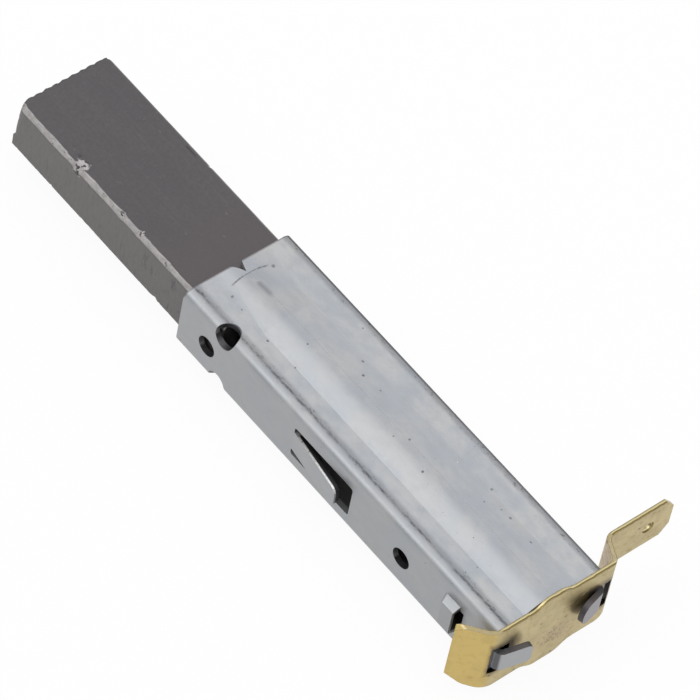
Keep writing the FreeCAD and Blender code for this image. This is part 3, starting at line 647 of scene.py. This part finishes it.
def carbon_sides(carbon, cloud):
    """Browner sides with saw marks and gouges, dents, scratches, and a redder top at the rear."""
    side = abs(carbon.face_y).ramp(0.5, 0.9)
    hatch = carbon.noise(2.2, 4.0, 0.7, (1.6, 1.0, 0.25), (0.0, 0.0, 6.0))
    carbon.paint(side, carbon.mix(hatch.ramp(0.3, 0.8), (0.128, 0.118, 0.117), (0.15, 0.139, 0.138)))
    dents = carbon.noise(1.7, 5.0, 0.75, (1.0, 1.0, 1.6), (2.0, 0.0, 0.0))
    carbon.paint(dents.ramp(0.6, 0.7) * 0.5, (0.045, 0.042, 0.043))
    scratch = carbon.noise(2.2, 2.0, 0.4, (1.4, 0.3, 1.0), (3.0, 7.0, 0.0))
    carbon.paint(scratch.near(0.5, 0.0, 0.005) * cloud.ramp(0.5, 0.6) * 0.3, (0.22, 0.21, 0.215))
    gouge = carbon.noise(1.0, 3.0, 0.6, (2.2, 0.3, 0.45), (8.0, 2.0, 0.0)).ramp(0.58, 0.66)
    carbon.paint(gouge * side * carbon.x.ramp(50.0, 58.0, 0.6, 0.25), (0.055, 0.05, 0.052))
    redder = carbon.x.ramp(REDDER_FROM, REDDER_TO, 0.6, 0.0) * (1 - side)
    carbon.paint(redder, (0.068, 0.057, 0.061))
    smudge = carbon.noise(0.9, 3.0, 0.6, (0.8, 1.8, 1.8), (12.0, 4.0, 0.0))
    carbon.paint(smudge.ramp(0.66, 0.74) * 0.4, (0.13, 0.124, 0.126))
    return dents


print("carbon is redder from", REDDER_FROM, "to", REDDER_TO, "mm")

# %% [markdown]
# Where an edge has worn or chipped, the fresh surface is paler. The worn bevels are found by the way
# they face: halfway between the side and the top. The far top bevel gets a painted highlight. Broken
# facets glitter in a few patches: there a cell texture with one colour for each cell paints some
# facets with highlight and others with shade. A crack and a chip by the far edge are painted dark,
# as painted shade in them.

# %% Worn and broken edges, with painted light and shade
# along the carbon, across it, size of a patch of broken facets
BREAKS = ((64.2, 4.85, 0.75), (57.5, 5.0, 0.36), (54.6, 5.05, 0.3))
CRACK = (65.2, 4.35)
FAR_CHIP = (59.85, -4.98)


def worn_edges(carbon):
    """Pale bevels, a painted highlight on the far bevel, painted glitter on broken patches, painted shade
    in a crack and a chip on the far edge, and the scored end.
    """
    worn = carbon.face_y.least(carbon.face_z).ramp(0.3, 0.5)
    patchy = carbon.noise(2.0, 5.0, 0.75, (0.7, 1.5, 1.5))
    carbon.paint(worn * patchy.ramp(0.35, 0.6, 0.6, 1.0), (0.37, 0.355, 0.35))
    patches = []
    for middle_x, middle_y, size in BREAKS:
        off_x, off_y = carbon.x - middle_x, carbon.y - middle_y
        away = (off_x ** 2 * 0.8 + off_y ** 2) ** 0.5 + (patchy - 0.5) * 2.4 * size
        patches.append(away.below(size * 0.65, size) * carbon.z.ramp(2.0, 2.3))
    broken = patches[0]
    for patch in patches[1:]:
        broken = broken.most(patch)
    facet_glitter = carbon.parts_of(carbon.cells(3.2, "Color"))[0]
    # painted glitter: a painted highlight on some broken facets and painted shade on others
    carbon.paint(broken * facet_glitter.ramp(0.45, 0.6), (0.4, 0.37, 0.38))
    carbon.paint(broken * facet_glitter.below(0.3, 0.45), (0.035, 0.033, 0.033))
    crack_x, crack_y = CRACK
    crack = abs(carbon.x - crack_x).most(abs(carbon.y - crack_y)) + (patchy - 0.5) * 0.9
    # painted shade in the crack
    carbon.paint(crack.ramp(0.0, 0.3, 0.8, 0.0) * carbon.z.ramp(2.8, 3.0), (0.02, 0.017, 0.017))
    chip_x, chip_y = FAR_CHIP
    chip = carbon.x.near(chip_x, 0.55, 0.9) * carbon.y.near(chip_y, 0.03, 0.16)
    # painted shade in the shallow chip beside the far edge
    carbon.paint(chip * carbon.z.ramp(2.6, 3.0) * 0.8, (0.016, 0.015, 0.016))
    # painted highlight along the far top bevel
    far_bevel_highlight = (carbon.face_y * -1).least(carbon.face_z).ramp(0.3, 0.5)
    carbon.paint(far_bevel_highlight * carbon.x.ramp(55.0, 62.0, 0.8, 0.35), (0.33, 0.315, 0.315))
    nicks = carbon.noise(2.0, 3.0, 0.6, (1.0, 1.0, 1.0), (31.0, 0.0, 0.0)).ramp(0.64, 0.68)
    carbon.paint(nicks * worn * 0.7, (0.05, 0.047, 0.047))
    carbon.paint(carbon.face_x.ramp(0.4, 0.9) * 0.35, (0.22, 0.212, 0.215))


def pressed_carbon():
    """Finish of the carbon."""
    carbon = Finish("pressed_carbon")
    grain, streaks, cloud = carbon_tones(carbon)
    dents = carbon_sides(carbon, cloud)
    worn_edges(carbon)
    height = grain * 0.5 + streaks * 0.4 + dents * 0.6 + carbon.noise(14.0, 2.0) * 0.2
    return carbon.surface(0.2, 0.46 + grain * 0.12, height, 0.35, 0.06 * MM)


carbon_finish = pressed_carbon()
print("finish:", carbon_finish.name)

# %% [markdown]
# The last finishes are for what is half hidden: drawn spring wire, the copper of the braid, and
# copper powder pressed round its end. They differ only in colour, in roughness and in which way
# their streaks run.

# %% Wire, braid and plug
def plain_metal(name, colour, dark, roughness, stretch):
    """Metal with one kind of streak and a darker tone in it."""
    metal = Finish(name)
    streaks = metal.noise(3.0, 4.0, 0.65, stretch)
    spots = metal.noise(2.5, 5.0, 0.7)
    metal.colour = metal.mix(streaks.ramp(0.4, 0.7), colour, dark)
    metal.paint(spots.ramp(0.55, 0.72) * 0.5, dark)
    return metal.surface(1.0, roughness + spots * 0.15, streaks + spots, 0.25, 0.04 * MM)


wire_finish = plain_metal("spring_wire", (0.5, 0.5, 0.51), (0.3, 0.3, 0.31), 0.25, (2.0, 1.0, 1.0))
braid_finish = plain_metal("copper_braid", (0.75, 0.4, 0.25), (0.4, 0.18, 0.1), 0.3, (3.0, 6.0, 6.0))
powder_finish = plain_metal("copper_powder", (0.5, 0.27, 0.16), (0.25, 0.12, 0.08), 0.6, (5.0, 5.0, 5.0))
print("finishes:", wire_finish.name, braid_finish.name, powder_finish.name)

# %% [markdown]
# A solid from the CAD program keeps its mesh. Only its finish changes, by putting one material in
# its slots.

# %% Finishes on the solids
FINISHES = {"holder_sleeve": steel_finish, "terminal_plate": brass_finish,
            "tamped_plug": powder_finish}

for name, finish in FINISHES.items():
    nodes[name].data.materials.clear()
    nodes[name].data.materials.append(finish)
print("finished solids:", ", ".join(FINISHES))

# %% [markdown]
# The carbon is soft and brittle, so its long edges are worn unevenly and have lost small chips,
# and its contact end is scored with ridges. The first step is how wide the worn bevel of an edge
# is at each place: a usual width, three waves of noise of different length, and the listed chips.

# %% Wear of the long edges
CARBON_LOW, CARBON_HIGH = (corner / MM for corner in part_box("carbon_brush"))
HALF_WIDTH = CARBON_HIGH.y
HALF_THICKNESS = CARBON_HIGH.z
LEAST_BEVEL = 0.08
# side of the width, top or bottom: usual bevel, how much it varies
EDGES = {(1, 1): (0.44, 0.14), (-1, 1): (0.18, 0.06), (1, -1): (0.2, 0.08), (-1, -1): (0.2, 0.08)}
# share of the variation, scale of the noise along the edge, place of the wave in the noise
WAVES = ((1.0, 0.3, 0.0), (0.7, 1.3, 5.0), (0.6, 3.7, 8.0))
# side, top or bottom, distance from the contact end, half length, depth
CHIPS = ((1, 1, 9.3, 0.9, 1.1), (-1, 1, 16.3, 0.5, 0.4), (1, 1, 16.1, 0.8, 0.8),
         (1, 1, 19.0, 0.7, 0.75), (1, 1, 13.0, 0.5, 0.65), (1, -1, 22.4, 0.6, 0.55),
         (1, -1, 6.3, 0.5, 0.35), (-1, -1, 19.8, 0.7, 0.5))


def bevel_width(side, level, x):
    """Width of the worn bevel of a long edge at a place along it."""
    width, change = EDGES[side, level]
    seed = 7.0 * side + 3.0 * level
    for share, scale, start in WAVES:
        width += share * change * noise.noise(Vector((x * scale, seed, start)))
    for chip_side, chip_level, from_end, half_length, depth in CHIPS:
        away = abs(CARBON_HIGH.x - from_end - x) / half_length
        if (chip_side, chip_level) == (side, level) and away < 1:
            ragged = 0.75 + 0.6 * noise.noise(Vector((x * 2.6, 3.0 * side, 2.0)))
            width = max(width, depth * (1 - away ** 2) * ragged)
    return max(width, LEAST_BEVEL)


print(f"{len(EDGES)} long edges with {len(CHIPS)} chips")

# %% [markdown]
# Each point near a long edge is pushed on to its bevel, and roughly so where the bevel is deep.
# The upright corners of the contact end are rounded, the near one most at its top. The end itself
# is set back in valleys between ridges, as the motor scored it. The foot of the near corner has
# neither and is still whole.

# %% Wear of a point
SCORE_PITCH = 1.05
SCORE_DEPTH = 0.28
CORNER_ROUND = 1.2
FAR_CORNER_ROUND = 0.7
FOOT_HEIGHT = 0.26
FOOT_WIDTH = 0.9
DEEP_BEVEL = 0.7


def on_bevel(x, y, z):
    """Place across the carbon and up of a point after the wear of the nearest long edge."""
    side = 1 if y > 0 else -1
    level = 1 if z > 0 else -1
    width = bevel_width(side, level, x)
    missing = width - (HALF_WIDTH - abs(y)) - (HALF_THICKNESS - abs(z))
    if missing > 0:
        rough = 1 + 0.3 * missing * noise.noise(Vector((x * 2.2, y * 2.2, z * 2.2)))
        rough += 0.5 * max(0.0, width - DEEP_BEVEL) * missing / width
        y -= side * missing / 2 * rough
        z -= level * missing / 2 * rough
    return y, z


def set_back(y, z):
    """How far the scored end lies behind the tips of its ridges."""
    phase = (y / SCORE_PITCH + 0.5) % 1.0
    valley = abs(phase - 0.5) * 2
    wobble = 0.5 + 0.35 * noise.noise(Vector((y * 1.3, z * 0.9, 2.0)))
    return SCORE_DEPTH * valley * wobble + 0.1 * abs(noise.noise(Vector((y * 4.0, z * 4.0, 9.0))))


def worn_place(point):
    """Place of a grid point after wear, in metres."""
    x, y, z = point
    from_front = CARBON_HIGH.x - x
    from_side = HALF_WIDTH - abs(y)
    y, z = on_bevel(x, y, z)
    side = 1 if y > 0 else -1
    upwards = (z - CARBON_LOW.z) / (CARBON_HIGH.z - CARBON_LOW.z)
    at_foot = side > 0 and upwards < FOOT_HEIGHT
    corner_round = CORNER_ROUND * (0.28 + 0.72 * upwards ** 2) if side > 0 else FAR_CORNER_ROUND
    over_x = corner_round - from_front
    over_y = corner_round - from_side
    if over_x > 0 and over_y > 0 and not at_foot:
        drawn_in = 1 - max(over_x, over_y) / math.hypot(over_x, over_y)
        x -= over_x * drawn_in
        y -= side * over_y * drawn_in
    if from_front < SCORE_DEPTH and not (at_foot and from_side < FOOT_WIDTH):
        x -= set_back(y, z)
    return Vector((x, y, z)) * MM


print(f"ridges {SCORE_PITCH} mm apart and up to {SCORE_DEPTH} mm high")

# %% [markdown]
# The block is one closed grid of small square cells over its six faces. Wear moves its points, and
# the piece then rides with the brush and takes the place of its solid.

# %% Carbon block
GRID = 0.2


def block_grid(low, high, step):
    """Six faces of a block as one closed grid of square cells."""
    counts = [max(1, round((high[axis] - low[axis]) / step)) for axis in range(3)]
    numbers = {}
    places = []
    faces = []

    def number(cell):
        if cell not in numbers:
            numbers[cell] = len(places)
            places.append([low[a] + (high[a] - low[a]) * cell[a] / counts[a] for a in range(3)])
        return numbers[cell]

    for axis in range(3):
        first, second = (axis + 1) % 3, (axis + 2) % 3
        for end in (0, counts[axis]):
            for i in range(counts[first]):
                for j in range(counts[second]):
                    corners = []
                    for di, dj in ((0, 0), (1, 0), (1, 1), (0, 1)):
                        cell = [0, 0, 0]
                        cell[axis], cell[first], cell[second] = end, i + di, j + dj
                        corners.append(number(tuple(cell)))
                    faces.append(corners if end else corners[::-1])
    return places, faces


def new_piece(name, places, faces, material):
    """Smooth piece with one finish, put into the scene."""
    mesh = bpy.data.meshes.new(name)
    mesh.from_pydata(places, [], faces)
    mesh.validate()
    mesh.shade_smooth()
    mesh.materials.append(material)
    piece = bpy.data.objects.new(name, mesh)
    bpy.context.scene.collection.objects.link(piece)
    return piece


places, faces = block_grid(CARBON_LOW, CARBON_HIGH, GRID)
worn_places = [worn_place(point) for point in places]
carbon_block = new_piece("carbon_block", worn_places, faces, carbon_finish)
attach(carbon_block, "brush")
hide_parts("carbon_brush")
print(f"carbon block: {len(faces)} cells")

# %% [markdown]
# The spring is round wire, and so is each strand of the braid. A ring of points is carried along a
# line, each ring is joined to the next, and a face closes each end.

# %% Round wire
def around_axis(x, radius, angle):
    """Point at an angle round the axis of the sleeve."""
    return Vector((x, radius * math.cos(angle), radius * math.sin(angle)))


def swept_wire(points, radius, sides):
    """Closed round wire along a line of points."""
    places, faces = [], []
    across = Vector((0.0, 1.0, 0.0))
    for index, point in enumerate(points):
        before = points[max(index - 1, 0)]
        after = points[min(index + 1, len(points) - 1)]
        along = (after - before).normalized()
        across = (across - along * across.dot(along)).normalized()
        other = along.cross(across)
        for side in range(sides):
            angle = 2 * math.pi * side / sides
            reach = across * math.cos(angle) + other * math.sin(angle)
            places.append((point + reach * radius) * MM)
    for index in range(len(points) - 1):
        for side in range(sides):
            here, beside = index * sides + side, index * sides + (side + 1) % sides
            faces.append([here, beside, beside + sides, here + sides])
    faces.append(list(range(sides))[::-1])
    faces.append([len(places) - sides + side for side in range(sides)])
    return places, faces


# %% [markdown]
# The spring's line is a helix. Its first and last turns lie close together, and the turns between
# them share what is left of its length.

# %% Spring
SPRING_LOW, SPRING_HIGH = (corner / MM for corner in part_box("brush_spring"))
SPRING_WIRE = 0.6
SPRING_TURNS = 18
SPRING_DIAMETER = 7.4
END_GAP = 0.05
STEPS_IN_TURN = 28
SPRING_SIDES = 10


def spring_line():
    """Points along the middle of the spring's wire."""
    closed = SPRING_WIRE + END_GAP
    start = SPRING_LOW.x + SPRING_WIRE / 2
    end = SPRING_HIGH.x - SPRING_WIRE / 2
    open_pitch = (end - start - 2 * closed) / (SPRING_TURNS - 2)
    radius = (SPRING_DIAMETER - SPRING_WIRE) / 2
    line = []
    for step in range(SPRING_TURNS * STEPS_IN_TURN + 1):
        turn = step / STEPS_IN_TURN
        x = start + closed * min(turn, 1) + open_pitch * max(0, min(turn, SPRING_TURNS - 1) - 1)
        x += closed * max(0, turn - SPRING_TURNS + 1)
        line.append(around_axis(x, radius, 2 * math.pi * turn))
    return line


spring_mesh = swept_wire(spring_line(), SPRING_WIRE / 2, SPRING_SIDES)
spring = new_piece("round_spring", *spring_mesh, wire_finish)
print(f"spring: {SPRING_TURNS} turns of {SPRING_WIRE} mm wire")

# %% [markdown]
# The braid's strands twist about the axis, half of them each way. Where two cross, one rises and
# the other dips.

# %% Braid
SHUNT_LOW, SHUNT_HIGH = (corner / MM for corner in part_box("copper_shunt"))
SHUNT_RADIUS = 1.0
STRANDS_EACH_WAY = 9
STRAND_RADIUS = SHUNT_RADIUS * 0.3
STRAND_SIDES = 5
BRAID_LAY = 9.0
BRAID_STEPS = 150
BRAID_INSET = 0.05
WEAVE_HEIGHT = 0.08


def braid_strands():
    """All strands as one mesh."""
    places, faces = [], []
    for number in range(2 * STRANDS_EACH_WAY):
        way = 1 if number % 2 else -1
        line = []
        for step in range(BRAID_STEPS + 1):
            x = SHUNT_LOW.x + (SHUNT_HIGH.x - SHUNT_LOW.x) * step / BRAID_STEPS
            angle = way * 2 * math.pi * (x / BRAID_LAY) + 2 * math.pi * number / (2 * STRANDS_EACH_WAY)
            weave = WEAVE_HEIGHT * way * math.cos(angle * STRANDS_EACH_WAY)
            line.append(around_axis(x, SHUNT_RADIUS - STRAND_RADIUS - BRAID_INSET + weave, angle))
        more_places, more_faces = swept_wire(line, STRAND_RADIUS, STRAND_SIDES)
        faces.extend([[corner + len(places) for corner in face] for face in more_faces])
        places.extend(more_places)
    return places, faces


braid = new_piece("braided_lead", *braid_strands(), braid_finish)
print(f"braid: {2 * STRANDS_EACH_WAY} strands")

# %% [markdown]
# Both stay with the holder: each is attached to the holder's body, gets a mesh of its own, and its
# solid is hidden.

# %% Pieces that stay with the holder
SOFT_PIECES = ((spring, "brush_spring", "spring_steel"), (braid, "copper_shunt", "copper_braid"))

for piece, node, slot in SOFT_PIECES:
    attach(piece, "holder")
    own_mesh(piece)
    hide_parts(node)

# %% [markdown]
# The part lies on a white sheet under soft light. The sheet looks white to the camera and to
# reflections, whatever the lamps do, and it still takes the part's shadow. So a share of it glows,
# and how large that share is depends on the kind of ray that sees it.

# %% Floor
FLOOR_WHITE = 0.94
FLOOR_GLOSS = 0.85
FLOOR_SIZE = 6.0
FLOOR_GAP = 0.02 * MM


def white_sheet():
    """White paper: matt, with a glow that only the camera and reflections see."""
    material = bpy.data.materials.new("white_sheet")
    material.use_nodes = True
    sheet = Board(material.node_tree, "ShaderNodeOutputMaterial")
    reflected = sheet.ray("Glossy") + sheet.ray("Transmission")
    seen = sheet.ray("Camera") * FLOOR_WHITE + reflected * FLOOR_GLOSS
    matt = sheet.node("ShaderNodeBsdfDiffuse", None, {"Color": (0.86, 0.86, 0.86)})
    glow = sheet.node("ShaderNodeEmission", None, {"Color": (1.0, 1.0, 1.0), "Strength": 1.0})
    sheet.show(sheet.node("ShaderNodeMixShader", None, {0: seen, 1: matt, 2: glow}))
    return material


floor_level = cad_box[0][2] - FLOOR_GAP
half = FLOOR_SIZE / 2
corners = [(-half, -half, floor_level), (half, -half, floor_level),
           (half, half, floor_level), (-half, half, floor_level)]
floor = new_piece("floor", corners, [[0, 1, 2, 3]], white_sheet())
print(f"floor at {floor_level / MM:.2f} mm")

# %% [markdown]
# Three large soft lamps give the even light of a product photograph. The largest one is overhead.
# One beyond the contact end, on the side of the catch, brightens the near slope of the channel,
# and one low on the far side of the part draws its far slope and fold.

# %% Lamps
def soft_lamp(name, place, size, watts):
    """Square lamp that shines at the origin."""
    light = bpy.data.lights.new(name, "AREA")
    light.shape = "SQUARE"
    light.size = size
    light.energy = watts
    lamp = bpy.data.objects.new(name, light)
    lamp.location = place
    lamp.rotation_euler = (-Vector(place)).to_track_quat("-Z", "Y").to_euler()
    bpy.context.scene.collection.objects.link(lamp)
    return lamp


lamps = (soft_lamp("lamp_above", (0.1, -0.1, 0.9), 1.6, 8.5),
         soft_lamp("lamp_slope", (0.45, 0.62, 0.75), 0.6, 2.8),
         soft_lamp("lamp_far", (0.45, -0.95, 0.35), 0.7, 1.9))
print("lamps:", ", ".join(lamp.name for lamp in lamps))

# %% [markdown]
# The room round the part is pale. The camera and reflections see it at full strength, so the metal
# has something bright to mirror, while it lights the part with less than half of that.

# %% Room
ROOM_LIGHT = 0.45

world = bpy.data.worlds.new("studio")
bpy.context.scene.world = world
world.use_nodes = True
room = Board(world.node_tree, "ShaderNodeOutputWorld")
strength = room.ray("Camera").most(room.ray("Glossy")).ramp(0.0, 1.0, ROOM_LIGHT, 1.0)
room.show(room.node("ShaderNodeBackground", None, {"Strength": strength}))
print("room:", world.name)
